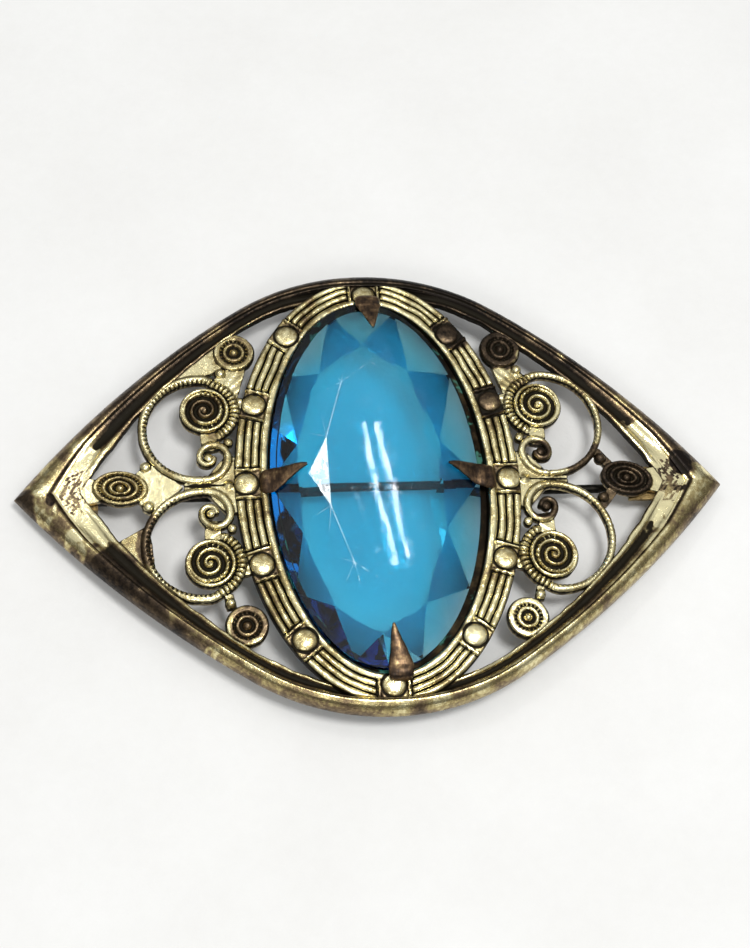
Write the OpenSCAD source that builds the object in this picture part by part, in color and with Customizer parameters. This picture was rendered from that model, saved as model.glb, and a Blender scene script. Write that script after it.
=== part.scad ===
// Pointed-oval openwork brooch with an oval glass stone, four claws and a hinged pin.
// Lies on its back: X runs between the two points, Z is up out of the face,
// and the origin is under the middle, at the height of the lowest metal.

/* [Front] */
// Length between the two points
length = 64; // [60:1:68]
// Height of the front from top to bottom
height = 42.4; // [41:0.2:44]
// Radius of the rounded top and bottom of the outline
crown_r = 22; // [20:0.5:24]
// Turn of the outline from the top to where the long flank starts, in degrees
crown_turn = 33; // [30:1:35]
// Radius that the whole front is domed to
dome_r = 272; // [200:1:400]
// Height of the face at the middle of the brooch, above the lowest metal
face_z = 4.6; // [4.4:0.1:5]
// Thickness of the stamped sheet
sheet_t = 0.5; // [0.4:0.05:0.6]

/* [Rim] */
// Width of the outer moulding at the top and bottom
moulding_w = 1.35; // [1.2:0.05:1.5]
// Distance from the middle to the inner corner of the moulding
moulding_tip = 28.4; // [27.5:0.1:29]
// Width of the whole rim at the top and bottom
rim_w = 2.2; // [2:0.1:2.5]
// Distance from the middle to the inner corner of the whole rim
rim_tip = 26.2; // [25.8:0.1:27]
// Depth of the moulding's outer skirt
skirt_d = 1.3; // [1:0.1:1.5]
// Width of the raised inner lip
lip_w = 0.32; // [0.25:0.01:0.4]

/* [Stone band] */
// Half width and half height of the band's outer edge
band_outer = [12.75, 20.4]; // [12:0.05:21]
// Half width and half height of the band's inner edge
band_inner = [9.75, 17.7]; // [9.5:0.05:18]
// Number of raised ribs along the band
rib_count = 4; // [3:1:5]
// Diameter of each domed stud
stud_d = 2.05; // [1.8:0.05:2.2]
// Half width and half height of the ellipse that the studs stand on
stud_path = [11.75, 18.75]; // [11:0.05:19]
// Places of the studs in one quarter, as ellipse angles from the right
stud_angles = [0, 24, 51, 90]; // [0:1:90]

/* [Scrollwork] */
// Centre of the upper right rosette
rosette_at = [12.25, 13.05]; // [12:0.05:13.5]
// Radius of a rosette
rosette_r = 1.85; // [1.6:0.05:1.95]
// Centre of the upper right volute
volute_at = [15.15, 7.28]; // [7:0.02:15.5]
// Radius of a volute without its rope
volute_r = 2.2; // [2:0.05:2.3]
// Width of the rope and of the large scroll
scroll_w = 0.8; // [0.6:0.05:0.9]
// Centre of the large scroll's curve
scroll_at = [15.75, 5.52]; // [5.2:0.02:16]
// Radius of the large scroll's centre line
scroll_r = 4.95; // [4.8:0.05:5.1]
// Centre of the small hooked end of the large scroll
hook_at = [14.72, 2.4]; // [2.2:0.02:15]
// Radius of the small hooked end
hook_r = 1.45; // [1.3:0.05:1.5]
// Centre of the right side rosette
side_at = [22.65, 0.2]; // [0:0.05:23]
// Half width and half height of a side rosette
side_half = [2.5, 1.75]; // [1.6:0.05:2.7]

/* [Stone] */
// Half width and half height of the stone
stone_half = [9.15, 17.3]; // [9:0.05:17.4]
// Half width and half height of the stone's flat table
table_half = [4.6, 10.6]; // [4:0.1:11]
// Half width and half height of the flat facet at the back
back_half = [6.1, 13.4]; // [5.5:0.1:14]
// Thickness of the stone's edge
girdle_t = 0.55; // [0.4:0.05:0.7]
// Height of the top facets above the edge
crown_h = 2.2; // [1.8:0.1:2.5]
// Depth of the back facets below the edge
back_d = 1.45; // [1.3:0.05:1.5]
// How far the stone sits off the band's centre, towards the hinge
stone_shift = 0.22; // [0:0.02:0.24]

/* [Claws] */
// Width of a claw where it leaves the band
claw_w = 2.3; // [2:0.1:2.5]
// Thickness of a claw
claw_t = 0.32; // [0.28:0.02:0.36]

/* [Pin] */
// Diameter of the pin stem
stem_d = 0.8; // [0.7:0.05:0.9]
// Height of the pin's centre line above the lowest metal
pin_z = 1.2; // [1.15:0.05:1.3]
// Distance from the middle to the hinge rivet
hinge_x = 25.9; // [25.7:0.1:26]
// Distance from the middle to the centre of the catch
catch_x = 24.4; // [24:0.1:24.8]
// Diameter of the hinge rivet
rivet_d = 0.6; // [0.5:0.05:0.65]
// Radial running clearance between the rivet and the pin's eye
rivet_gap = 0.04; // [0.02:0.01:0.06]
// Width of the pin's eye between the hinge ears
eye_w = 1.6; // [1.4:0.1:1.8]
// Thickness of each hinge ear
ear_t = 0.45; // [0.4:0.05:0.5]

/* [Hidden] */
$fn = 48;

rim_colour = [0.42, 0.33, 0.20];
gold_colour = [0.72, 0.62, 0.32];
claw_colour = [0.45, 0.32, 0.18];
glass_colour = [0.10, 0.50, 0.75, 0.6];
back_colour = [0.62, 0.52, 0.30];
steel_colour = [0.60, 0.60, 0.58];

sink = 0.01;                       // shared depth where two solids of one node are joined
reach = 34;                        // radius that covers the whole front
arc_steps = 10;                    // straight steps in each long arc of the outline
crown_y = height / 2 - crown_r;    // centre of the outline's top curve
groove_top = -0.5;                 // height of the rim's groove, from the face
lip_top = -0.22;                   // height of the rim's raised lip, from the face
web_top = -0.38;                   // height of the flat webs, from the face
web_low = web_top - sheet_t;       // back of the flat webs
rib_low = -0.3;                    // bottom of the grooves between the band's ribs
band_low = -1.15;                  // back edge of the band
stud_h = 0.5;                      // rise of a stud's dome
girdle_z = face_z - 0.42;          // middle of the stone's edge
crown_z = girdle_z + girdle_t / 2; // where the top facets start
seat_top = girdle_z - girdle_t / 2 - 0.4;
seat_low = 2.45;                   // back of the seat
seat_t = 0.3;                      // thickness of the seat's flange behind the band
seat_outer = [10.9, 18.8];
seat_inner = [8.75, 16.85];
opening = band_inner - [0.02, 0.02];
star_half = [6.5, 13.3];           // where the facets round the table end
star_z = crown_z + crown_h * 0.66; // height of those facets' outer points
end_steep = crown_h / (stone_half[1] - table_half[1]);
side_steep = (star_z - crown_z) / (stone_half[0] - star_half[0]);
end_edge = opening[1] - stone_half[1];
bend_d = 0.1;                      // a claw bends over just inside the stone's edge
root_d = 0.3;                      // and keeps its full width this far in
leg_inset = 0.06;                  // what the opening's curve takes off a leg's corners
claw_tip_w = 0.35;
slice_t = 0.02;                    // thickness of the slices that a claw's finger is drawn with
ball_at = [13.57, 10.97];          // small ball between the rosette and the volute
low_ball_at = [13.1, 3.8];         // small ball between the volute and the hooked end
// Corners of the flat webs in a quarter
band_tie = [[11.6, 8.4], [13, 8.8], [13.2, 6.2], [11.9, 5.9]];
hook_web = [volute_at + [-1.2, -2], volute_at + [0.9, -2], hook_at + [0.7, 0.6],
            hook_at + [-2.6, -2.3], [12, 0.1], [11.9, 4.8]];
rosette_to_rim = [rosette_at + [0.4, 0.8], rosette_at + [1.9, 2.1], rosette_at + [-0.9, 3.4]];
scroll_to_rim = [scroll_at + 4.6 * [cos(50), sin(50)], scroll_at + 5.9 * [cos(66), sin(66)],
                 scroll_at + 6.2 * [cos(34), sin(34)]];
rosette_to_band = [rosette_at + [0.3, -1], rosette_at + [2.2, -2.9], volute_at + [-1, 1.6],
                   volute_at + [-2.9, 0.6], [11.6, 8.2], [10.6, 11.6]];
rosette_to_volute = [rosette_at + [0.7, -1.5], rosette_at + [1.7, -1.5],
                     volute_at + [-0.9, 2.5], volute_at + [-1.8, 2.5]];
corner_leaf = [rosette_at + [1.2, 1.2], rosette_at + [0.8, -1.5], scroll_at + [1, 4.6],
               scroll_at + 6.4 * [cos(50), sin(50)]];
side_ball_at = [20.6, 1.9];        // small ball where the large scroll meets a side rosette
rivet_r = rivet_d / 2;
stem_r = stem_d / 2;
eye_r = 0.62;                      // radius of the pin's eye
ear_r = pin_z;                     // the ears' round ends reach the lowest metal
neck_l = 2;                        // from the rivet to the end of the eye's neck
neck_w = 0.9;                      // side of the neck's square section
neck_gap = 0.03;                   // gap that lets the stem flex beside the neck
stem_x = -hinge_x + neck_l + neck_gap;
point_x = catch_x + 2.1;           // tip of the pin
taper_l = 5;                       // length of the pin's point
hook_in = stem_r + 0.22;           // inner radius of the catch
hook_out = pin_z;                  // outer radius of the catch
catch_w = 2;                       // width of the catch along the pin
patch_t = 0.35;                    // thickness of the soldered patches
patch_gap = 0.18;                  // solder left between a patch and the domed sheet

// ---- outlines ----

function arc_points(c, r, from, to, n) =
    [for (i = [0:n]) let (a = from + (to - from) * i / n) c + r * [cos(a), sin(a)]];

// One quarter of a pointed outline: the rounded top inset by w, and a long flank
// that leaves it smoothly and ends in a corner at x = tip.
function quarter(w, tip) =
    let (r1 = crown_r - w,
         join_a = 90 - crown_turn,
         p = [0, crown_y] + r1 * [cos(join_a), sin(join_a)],
         chord = norm([tip, 0] - p),
         lean = atan2(p[1], tip - p[0]) - crown_turn,
         r2 = chord / (2 * sin(lean)),
         c2 = p - r2 * [cos(join_a), sin(join_a)],
         end_a = join_a - 2 * lean)
    concat(arc_points([0, crown_y], r1, 90, join_a, arc_steps),
           arc_points(c2, r2, join_a - 2 * lean / arc_steps, end_a, arc_steps - 1));

function backwards(v) = [for (i = [len(v) - 1:-1:0]) v[i]];
function inner_part(v) = [for (i = [1:len(v) - 2]) v[i]];

function outline_points(w, tip) =
    let (q = quarter(w, tip))
    concat(q,
           backwards([for (p = inner_part(q)) [p[0], -p[1]]]),
           [[0, -q[0][1]]],
           [for (p = inner_part(q)) [-p[0], -p[1]]],
           [[-tip, 0]],
           backwards([for (p = inner_part(q)) [-p[0], p[1]]]));

module outline(w, tip) {
    polygon(outline_points(w, tip));
}

module oval(half, n = 60) {
    polygon([for (i = [0:n - 1]) [half[0] * cos(360 * i / n), half[1] * sin(360 * i / n)]]);
}

module oval_ring(outer, inner) {
    difference() {
        oval(outer);
        oval(inner);
    }
}

module ring(r, w) {
    difference() {
        circle(r + w / 2);
        circle(r - w / 2);
    }
}

// Part of a ring between two angles, less than half a turn apart
module ring_arc(r, w, from, to) {
    far = 3 * r;
    middle = (from + to) / 2;
    intersection() {
        ring(r, w);
        polygon([[0, 0], far * [cos(from), sin(from)],
                 far * 1.5 * [cos(middle), sin(middle)], far * [cos(to), sin(to)]]);
    }
}

// ---- doming ----

// The space between two heights over the domed face
module dome_space(low, high) {
    rotate_extrude($fn = 96)
        intersection() {
            translate([0, face_z - dome_r])
                difference() {
                    circle(dome_r + high, $fn = 2000);
                    circle(dome_r + low, $fn = 2000);
                }
            translate([0, -5])
                square([reach, 20]);
        }
}

// Stands a flat shape up on the domed face between two heights
module domed(low, high) {
    intersection() {
        translate([0, 0, -2])
            linear_extrude(12)
                children();
        dome_space(low, high);
    }
}

// ---- front ----

module rim_frame() {
    color(rim_colour)
        union() {
            domed(-skirt_d, -0.12)
                difference() {
                    outline(0, length / 2);
                    outline(moulding_w, moulding_tip);
                }
            domed(-0.2, 0.12)
                difference() {
                    outline(moulding_w * 0.3, length / 2 - 1);
                    outline(moulding_w * 0.8, moulding_tip + 0.8);
                }
            domed(groove_top - sheet_t, groove_top)
                difference() {
                    outline(moulding_w - sink, moulding_tip + sink);
                    outline(rim_w, rim_tip);
                    oval(band_outer);
                }
            domed(groove_top - sink, lip_top)
                difference() {
                    outline(rim_w - lip_w, rim_tip + lip_w * 1.3);
                    outline(rim_w, rim_tip);
                    oval(band_outer);
                }
        }
}

function band_oval(t) = band_inner + (band_outer - band_inner) * t;

module band_area() {
    intersection() {
        oval_ring(band_outer, band_inner);
        outline(moulding_w, moulding_tip);
    }
}

// Puts its children on the stud path at every stud, turned to lie along the band
module at_studs() {
    for (sx = [-1, 1], sy = [-1, 1], a = stud_angles)
        if ((a > 0 || sy > 0) && (a < 90 || sx > 0))
            translate([sx * stud_path[0] * cos(a), sy * stud_path[1] * sin(a)])
                rotate(atan2(sy * sin(a) / stud_path[1], sx * cos(a) / stud_path[0]))
                    children();
}

module oval_band() {
    block_l = stud_d + 0.35;
    color(gold_colour)
        union() {
            domed(band_low, rib_low)
                band_area();
            for (i = [0:rib_count - 1])
                domed(rib_low - sink, 0)
                    difference() {
                        intersection() {
                            oval_ring(band_oval((i + 0.82) / rib_count), band_oval((i + 0.22) / rib_count));
                            band_area();
                        }
                        at_studs()
                            square([6, block_l], center = true);
                    }
            domed(rib_low - sink, -0.12)
                intersection() {
                    band_area();
                    at_studs()
                        square([6, block_l - 0.02], center = true);
                }
            for (sx = [-1, 1], sy = [-1, 1], a = stud_angles)
                if ((a > 0 || sy > 0) && (a < 90 || sx > 0))
                    stud([sx * stud_path[0] * cos(a), sy * stud_path[1] * sin(a)]);
        }
}

function dome_z(p) = face_z - dome_r + sqrt(dome_r * dome_r - p[0] * p[0] - p[1] * p[1]);

module stud(at) {
    cap_r = (pow(stud_d / 2, 2) + pow(stud_h, 2)) / (2 * stud_h);
    base_z = dome_z(at) - 0.2;
    translate([at[0], at[1], base_z])
        intersection() {
            translate([0, 0, stud_h + 0.1 - cap_r])
                sphere(cap_r);
            cylinder(h = 2, r = stud_d / 2);
        }
}

// ---- scrollwork, drawn for the upper right quarter ----

module on_face(at, h) {
    translate([at[0], at[1], dome_z(at) + h])
        children();
}

// The flat shape of everything in a quarter, which the sheet is pierced to.
// band_web fills the corner between rosette, volute and band, corner_web the one to the rim.
module quarter_sheet(band_web, corner_web) {
    translate(rosette_at)
        circle(rosette_r);
    translate(volute_at)
        circle(volute_r + scroll_w);
    large_scroll();
    translate(hook_at)
        circle(hook_r - 0.2);
    polygon(band_tie);
    polygon(hook_web);
    polygon(rosette_to_rim);
    polygon(scroll_to_rim);
    if (band_web)
        polygon(rosette_to_band);
    else
        polygon(rosette_to_volute);
    if (corner_web)
        polygon(corner_leaf);
}

module large_scroll() {
    translate(scroll_at) {
        ring_arc(scroll_r, scroll_w, -92, 40);
        ring_arc(scroll_r, scroll_w, 38, 100);
    }
    translate(hook_at) {
        ring_arc(hook_r + 0.65, scroll_w, 175, 276);
        ring_arc(hook_r - 0.1, scroll_w * 0.85, 20, 178);
    }
}

module quarter_area(band_web, corner_web) {
    difference() {
        intersection() {
            quarter_sheet(band_web, corner_web);
            outline(rim_w, rim_tip);
            translate([5, 0.02])
                square(40);
        }
        oval(band_outer);
    }
}

// A flat spiral built from half circles that shrink by half a pitch each
module half_turns(r, pitch, w, count) {
    for (i = [0:count - 1])
        translate([i % 2 == 0 ? 0 : -pitch / 2, 0])
            rotate(i % 2 == 0 ? 0 : 180) {
                ring_arc(r - i * pitch / 2, w, 0, 91);
                ring_arc(r - i * pitch / 2, w, 89, 180);
            }
}

module scroll_quarter(band_web, corner_web = false) {
    color(gold_colour)
        union() {
            domed(web_low, web_top)
                quarter_area(band_web, corner_web);
            domed(web_top - sink, 0)
                intersection() {
                    quarter_area(band_web, corner_web);
                    union() {
                        large_scroll();
                        translate(volute_at)
                            rotate(-60)
                                half_turns(volute_r - 0.25, 0.8, 0.45, 4);
                        translate(volute_at)
                            ring_arc(volute_r + 0.4, 0.7, 95, 215);
                        translate(rosette_at) {
                            ring(rosette_r - 0.25, 0.4);
                            ring(rosette_r - 0.95, 0.35);
                        }
                    }
                }
            on_face(rosette_at, -0.4)
                sphere(0.5);
            on_face(volute_at, -0.4)
                sphere(0.5);
            on_face(hook_at, -0.35)
                sphere(0.6);
            on_face(ball_at, -0.35)
                sphere(0.5);
            on_face(low_ball_at, -0.4)
                sphere(0.42);
        }
}

module scroll_upper_right() {
    scroll_quarter(true);
}

module scroll_upper_left() {
    mirror([1, 0, 0])
        scroll_quarter(true, true);
}

module scroll_lower_right() {
    mirror([0, 1, 0])
        scroll_quarter(false);
}

module scroll_lower_left() {
    mirror([1, 0, 0])
        mirror([0, 1, 0])
            scroll_quarter(false);
}

module side_area(full_web) {
    difference() {
        intersection() {
            union() {
                translate(side_at)
                    rotate(-8)
                        oval(side_half, 36);
                for (s = [-1, 1]) {
                    translate([side_ball_at[0], side_ball_at[1] * s])
                        circle(0.55);
                    polygon([[20.2, 1.2 * s], [21.4, 1.2 * s], [21, 2.6 * s], [19.6, 2.9 * s]]);
                }
                polygon([[24, 0.9], [26.4, 1.3], [26.4, -1.1], [24, -0.8]]);
                if (full_web)
                    polygon([[17.6, 0], [20.3, 2.6], [21.2, 1.2], [21.2, -1.2], [20.3, -2.6]]);
            }
            outline(rim_w, rim_tip);
        }
        for (s = [0, 1])
            mirror([0, s])
                translate(scroll_at)
                    circle(scroll_r + scroll_w / 2);
    }
}

module side_rosette(full_web) {
    color(gold_colour)
        union() {
            domed(web_low, web_top)
                side_area(full_web);
            for (s = [1, 0.62])
                domed(web_top - sink, 0)
                    translate(side_at)
                        rotate(-8)
                            difference() {
                                oval(side_half * s, 36);
                                oval(side_half * s - [0.4, 0.4], 36);
                            }
            on_face(side_at, -0.4)
                sphere(0.5);
            for (s = [-1, 1])
                on_face([side_ball_at[0], side_ball_at[1] * s], -0.45)
                    sphere(0.42);
        }
}

module side_rosette_right() {
    side_rosette(false);
}

module side_rosette_left() {
    mirror([1, 0, 0])
        side_rosette(true);
}

// ---- stone and its setting ----

module stone_slice(half, z, t, n, turn = 0) {
    translate([-stone_shift, 0, z])
        linear_extrude(t)
            polygon([for (i = [0:n - 1])
                     let (a = turn + 360 * i / n) [half[0] * cos(a), half[1] * sin(a)]]);
}

module glass_stone() {
    thin = 0.02;
    color(glass_colour)
        hull() {
            stone_slice(table_half, crown_z + crown_h - thin, thin, 10, 90);
            stone_slice(star_half, star_z - thin, thin, 10, 72);
            stone_slice(stone_half, girdle_z - girdle_t / 2, girdle_t, 40);
            stone_slice(back_half, girdle_z - girdle_t / 2 - back_d, thin, 10, 90);
        }
}

// A collar inside the band that the stone's back facets rest in, with a flange behind the band
module stone_seat() {
    color(back_colour)
        translate([0, 0, seat_low])
            union() {
                linear_extrude(seat_top - seat_low)
                    oval_ring(opening, seat_inner);
                linear_extrude(seat_t)
                    oval_ring(seat_outer, seat_inner);
            }
}

// One claw: a leg that stands on the seat beside the stone, then a finger bent over the
// stone's top facets. edge is how far inside the leg's outer face the stone's edge lies,
// steep is the slope of the facets, length is how far the finger reaches past the edge,
// and side is how far the leg and the tip stand off the axis.
module claw(a, edge, steep, length, side) {
    leg_h = finger_z(bend_d, steep) - seat_top;
    color(claw_colour)
        union() {
            intersection() {
                at_opening(a)
                    translate([-claw_t - leg_inset, side[0] - claw_w / 2, seat_top])
                        cube([claw_t + leg_inset, claw_w, leg_h]);
                translate([0, 0, seat_top])
                    linear_extrude(leg_h)
                        oval(opening);
            }
            at_opening(a) {
                hull() {
                    claw_slice(-claw_t / 2, side[0], claw_w, finger_z(bend_d, steep), claw_t);
                    claw_root(edge, steep, side[0]);
                }
                hull() {
                    claw_root(edge, steep, side[0]);
                    claw_middle(edge, steep, length, side);
                }
                hull() {
                    claw_middle(edge, steep, length, side);
                    claw_slice(edge + length, side[1], claw_tip_w, finger_z(length, steep), slice_t);
                }
            }
        }
}

module at_opening(a) {
    translate([opening[0] * cos(a), opening[1] * sin(a)])
        rotate(a)
            children();
}

module claw_root(edge, steep, side) {
    claw_slice(edge + root_d, side, claw_w * 0.96, finger_z(root_d, steep), slice_t);
}

module claw_middle(edge, steep, length, side) {
    half = length / 2;
    claw_slice(edge + half, (side[0] + side[1]) / 2, claw_w * 0.52, finger_z(half, steep), slice_t);
}

// A thin upright block across the finger, inward by d from the leg's outer face
module claw_slice(d, side, w, top, t) {
    outward = d < 0 ? d : -d;
    translate([outward - t / 2, side - w / 2, top - claw_t])
        cube([t, w, claw_t]);
}

// Height of the finger's top over the facets, d inside the stone's edge
function finger_z(d, steep) = crown_z + 0.06 + claw_t + steep * d;

module claw_top() {
    claw(90, end_edge, end_steep, 2.9, [-0.2, -0.4]);
}

module claw_bottom() {
    claw(270, end_edge, end_steep, 3.4, [0.6, 0.3]);
}

module claw_right() {
    claw(0, opening[0] - stone_half[0] + stone_shift, side_steep, 2.8, [0, 0.5]);
}

module claw_left() {
    claw(180, opening[0] - stone_half[0] - stone_shift, side_steep, 2.5, [0, -0.5]);
}

// ---- back ----

// Height of the underside of a soldered patch at a place along the long axis
function patch_low(at_x) = dome_z([at_x, 0]) + groove_top - sheet_t - patch_gap - patch_t;

module patch(at_x, half) {
    translate([at_x - half[0], -half[1], patch_low(at_x)])
        cube([2 * half[0], 2 * half[1], patch_t]);
}

module hinge_plate() {
    color(back_colour)
        patch(-hinge_x, [1.2, 1.4]);
}

module ear(y) {
    translate([-hinge_x, y + ear_t, 0])
        rotate([90, 0, 0])
            linear_extrude(ear_t)
                difference() {
                    union() {
                        translate([0, pin_z])
                            circle(ear_r);
                        translate([-ear_r, pin_z])
                            square([2 * ear_r, 2]);
                    }
                    translate([0, pin_z])
                        circle(rivet_r);
                    translate([-5, patch_low(-hinge_x)])
                        square(10);
                }
}

module hinge_bracket() {
    inside = eye_w / 2 + 0.06;
    web_w = 0.45;
    web_t = 0.3;
    color(back_colour)
        union() {
            ear(inside);
            ear(-inside - ear_t);
            translate([-hinge_x - ear_r, -inside - sink, patch_low(-hinge_x) - web_t])
                cube([web_w, 2 * (inside + sink), web_t]);
        }
}

module hinge_rivet() {
    half = eye_w / 2 + 0.06 + ear_t;
    head_h = 0.2;
    head_r = 0.5;
    color(steel_colour)
        translate([-hinge_x, 0, pin_z])
            rotate([90, 0, 0]) {
                cylinder(h = 2 * half, r = rivet_r, center = true);
                for (s = [0, 1])
                    mirror([0, 0, s])
                        translate([0, 0, half])
                            cylinder(h = head_h, r1 = head_r, r2 = head_r * 0.6);
            }
}

module pin_eye() {
    color(back_colour)
        difference() {
            union() {
                translate([-hinge_x, 0, pin_z])
                    rotate([90, 0, 0])
                        cylinder(h = eye_w, r = eye_r, center = true);
                translate([-hinge_x, -neck_w / 2, pin_z - neck_w / 2])
                    cube([neck_l, neck_w, neck_w]);
            }
            translate([-hinge_x, 0, pin_z])
                rotate([90, 0, 0])
                    cylinder(h = 4, r = rivet_r + rivet_gap, center = true);
        }
}

module pin_stem() {
    straight = point_x - taper_l - stem_x;
    color(steel_colour)
        translate([stem_x, 0, pin_z])
            rotate([0, 90, 0])
                rotate_extrude()
                    polygon([[0, 0], [stem_r, 0], [stem_r, straight],
                             [stem_r * 0.55, straight + taper_l * 0.7], [0, straight + taper_l]]);
}

module catch_plate() {
    color(back_colour)
        patch(catch_x, [1.4, 1.6]);
}

// A hook bent to a C, open towards the bottom of the brooch. Its lip passes under the pin.
module c_catch() {
    lip = 0.3;
    color(back_colour)
        translate([catch_x - catch_w / 2, 0, 0])
            rotate([90, 0, 90])
                linear_extrude(catch_w)
                    difference() {
                        union() {
                            translate([0, pin_z])
                                circle(hook_out);
                            translate([-0.2, pin_z])
                                square([hook_out + 0.2, hook_out]);
                        }
                        translate([0, pin_z])
                            circle(hook_in);
                        translate([-hook_out - 1, pin_z - hook_in])
                            square([hook_out + 1, 2 * hook_in]);
                        translate([-2 * hook_out - lip, -1])
                            square([2 * hook_out, pin_z + 1]);
                        translate([-5, patch_low(catch_x)])
                            square(10);
                    }
}

rim_frame();
oval_band();
scroll_upper_right();
scroll_upper_left();
scroll_lower_right();
scroll_lower_left();
side_rosette_right();
side_rosette_left();
stone_seat();
glass_stone();
claw_top();
claw_right();
claw_bottom();
claw_left();
hinge_plate();
hinge_bracket();
hinge_rivet();
pin_eye();
pin_stem();
catch_plate();
c_catch();
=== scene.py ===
import math

import bpy
import numpy as np
from mathutils import Matrix, Quaternion, Vector


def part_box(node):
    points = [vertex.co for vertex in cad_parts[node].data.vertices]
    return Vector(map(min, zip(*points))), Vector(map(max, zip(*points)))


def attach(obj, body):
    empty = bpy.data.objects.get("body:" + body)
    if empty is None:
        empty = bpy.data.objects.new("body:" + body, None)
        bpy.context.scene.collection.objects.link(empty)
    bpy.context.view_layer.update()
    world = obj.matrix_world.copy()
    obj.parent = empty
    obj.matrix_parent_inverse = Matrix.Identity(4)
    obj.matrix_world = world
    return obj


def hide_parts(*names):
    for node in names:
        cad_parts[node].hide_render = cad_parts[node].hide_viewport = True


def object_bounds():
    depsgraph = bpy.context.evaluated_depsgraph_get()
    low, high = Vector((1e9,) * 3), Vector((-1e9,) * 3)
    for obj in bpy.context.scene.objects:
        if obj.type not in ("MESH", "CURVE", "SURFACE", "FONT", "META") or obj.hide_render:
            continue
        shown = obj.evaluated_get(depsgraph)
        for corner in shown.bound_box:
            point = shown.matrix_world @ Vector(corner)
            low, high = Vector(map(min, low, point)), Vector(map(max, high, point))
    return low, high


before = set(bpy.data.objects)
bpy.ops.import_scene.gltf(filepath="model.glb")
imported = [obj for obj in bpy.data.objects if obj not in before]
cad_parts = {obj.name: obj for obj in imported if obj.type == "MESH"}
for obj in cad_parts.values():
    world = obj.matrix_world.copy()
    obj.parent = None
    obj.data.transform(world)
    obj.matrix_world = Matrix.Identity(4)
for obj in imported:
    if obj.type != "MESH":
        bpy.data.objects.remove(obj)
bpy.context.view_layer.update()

# A gilt openwork brooch with an oval blue glass stone, lying face up on pale paper.

# ---- Camera ----
# A hand-held camera leans over the brooch from its lower left, a hand's breadth away,
# and is rolled a little, so the brooch lies slightly askew in the view.

MM = 0.001
AZIMUTH = math.radians(-18.8)
ELEVATION = math.radians(65.5)
ROLL = math.radians(16)
DISTANCE = 182.5
LENS, FILM_WIDTH = 78.2, 36
STUDS_ABOVE_FACE = 0.4
face_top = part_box("oval_band")[1].z - STUDS_ABOVE_FACE * MM
looked_at = Vector((-0.31 * MM, 0.58 * MM, face_top))
back = Vector((math.sin(AZIMUTH) * math.cos(ELEVATION),
               -math.cos(AZIMUTH) * math.cos(ELEVATION), math.sin(ELEVATION)))
level = Vector((math.cos(AZIMUTH), math.sin(AZIMUTH), 0))
upward = back.cross(level)
across = math.cos(ROLL) * level + math.sin(ROLL) * upward
upright = -math.sin(ROLL) * level + math.cos(ROLL) * upward

camera = bpy.data.objects.new("camera", bpy.data.cameras.new("camera"))
camera.data.lens = LENS
camera.data.sensor_width = FILM_WIDTH
camera.data.clip_start = 0.01
camera.matrix_world = Matrix.Translation(looked_at + back * DISTANCE * MM) @ Matrix(
    (across, upright, back)).transposed().to_4x4()
bpy.context.scene.collection.objects.link(camera)
bpy.context.scene.camera = camera
bpy.context.scene.view_settings.view_transform = "Standard"

# ---- Rim ----
# The outer frame is stamped from sheet brass with the rest of the front: a round moulding
# that turns down to a skirt, a groove beside it, and a thin lip along the pierced openings.
# The gilding has worn to brown on the moulding and stays bright in the two points.

LENGTH, HEIGHT = 64.0, 42.4
CROWN_R, CROWN_TURN = 22.0, 33.0
DOME_R = 272.0
FACE_Z = 4.6
RIM_W, RIM_TIP = 2.2, 26.2


def dome(x, y):
    """Height of the domed face at a place, in millimetres."""
    return FACE_Z - DOME_R + np.sqrt(DOME_R ** 2 - x * x - y * y)


def outline(inset, tip, share):
    """Points of the upper right quarter of a pointed outline, from its top (share 0) to its tip."""
    top_y = HEIGHT / 2 - CROWN_R
    r1 = CROWN_R - inset
    join = math.radians(90 - CROWN_TURN)
    px, py = r1 * math.cos(join), top_y + r1 * math.sin(join)
    chord = math.hypot(tip - px, py)
    lean = math.atan2(py, tip - px) - math.radians(CROWN_TURN)
    r2 = chord / (2 * math.sin(lean))
    cx, cy = px - r2 * math.cos(join), py - r2 * math.sin(join)
    first = r1 * math.radians(CROWN_TURN)
    run = share * (first + r2 * 2 * lean)
    a1 = math.pi / 2 - run / r1
    a2 = join - (run - first) / r2
    on_crown = run < first
    x = np.where(on_crown, r1 * np.cos(a1), cx + r2 * np.cos(a2))
    y = np.where(on_crown, top_y + r1 * np.sin(a1), cy + r2 * np.sin(a2))
    return x, y


def smooth(low, high, v):
    """Rises smoothly from 0 to 1 while v goes from low to high."""
    t = np.clip((v - low) / (high - low), 0, 1)
    return t * t * (3 - 2 * t)


def cloud(x, y, size, seed):
    """Random values from 0 to 1 that change softly over about size millimetres."""
    grid = np.random.default_rng(seed).random((64, 64))
    u, v = x / size + 640.3, y / size + 640.7
    i, j = np.floor(u).astype(int), np.floor(v).astype(int)
    fu, fv = smooth(0, 1, u - i), smooth(0, 1, v - j)

    def at(a, b):
        return grid[(i + a) % 64, (j + b) % 64]

    return ((at(0, 0) * (1 - fu) + at(1, 0) * fu) * (1 - fv)
            + (at(0, 1) * (1 - fu) + at(1, 1) * fu) * fv)


def mottle(x, y, size, seed):
    """Three octaves of cloud."""
    return (cloud(x, y, size, seed) * 4 + cloud(x, y, size / 2, seed + 1) * 2
            + cloud(x, y, size / 4, seed + 2)) / 7


def patch(x, y, at, half, seed):
    """A patch with a ragged edge: 1 inside, 0 outside."""
    far = np.hypot((x - at[0]) / half[0], (y - at[1]) / half[1])
    return 1 - smooth(0.8, 1.05, far + (mottle(x, y, 1.3, seed) - 0.5) * 0.9)


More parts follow.
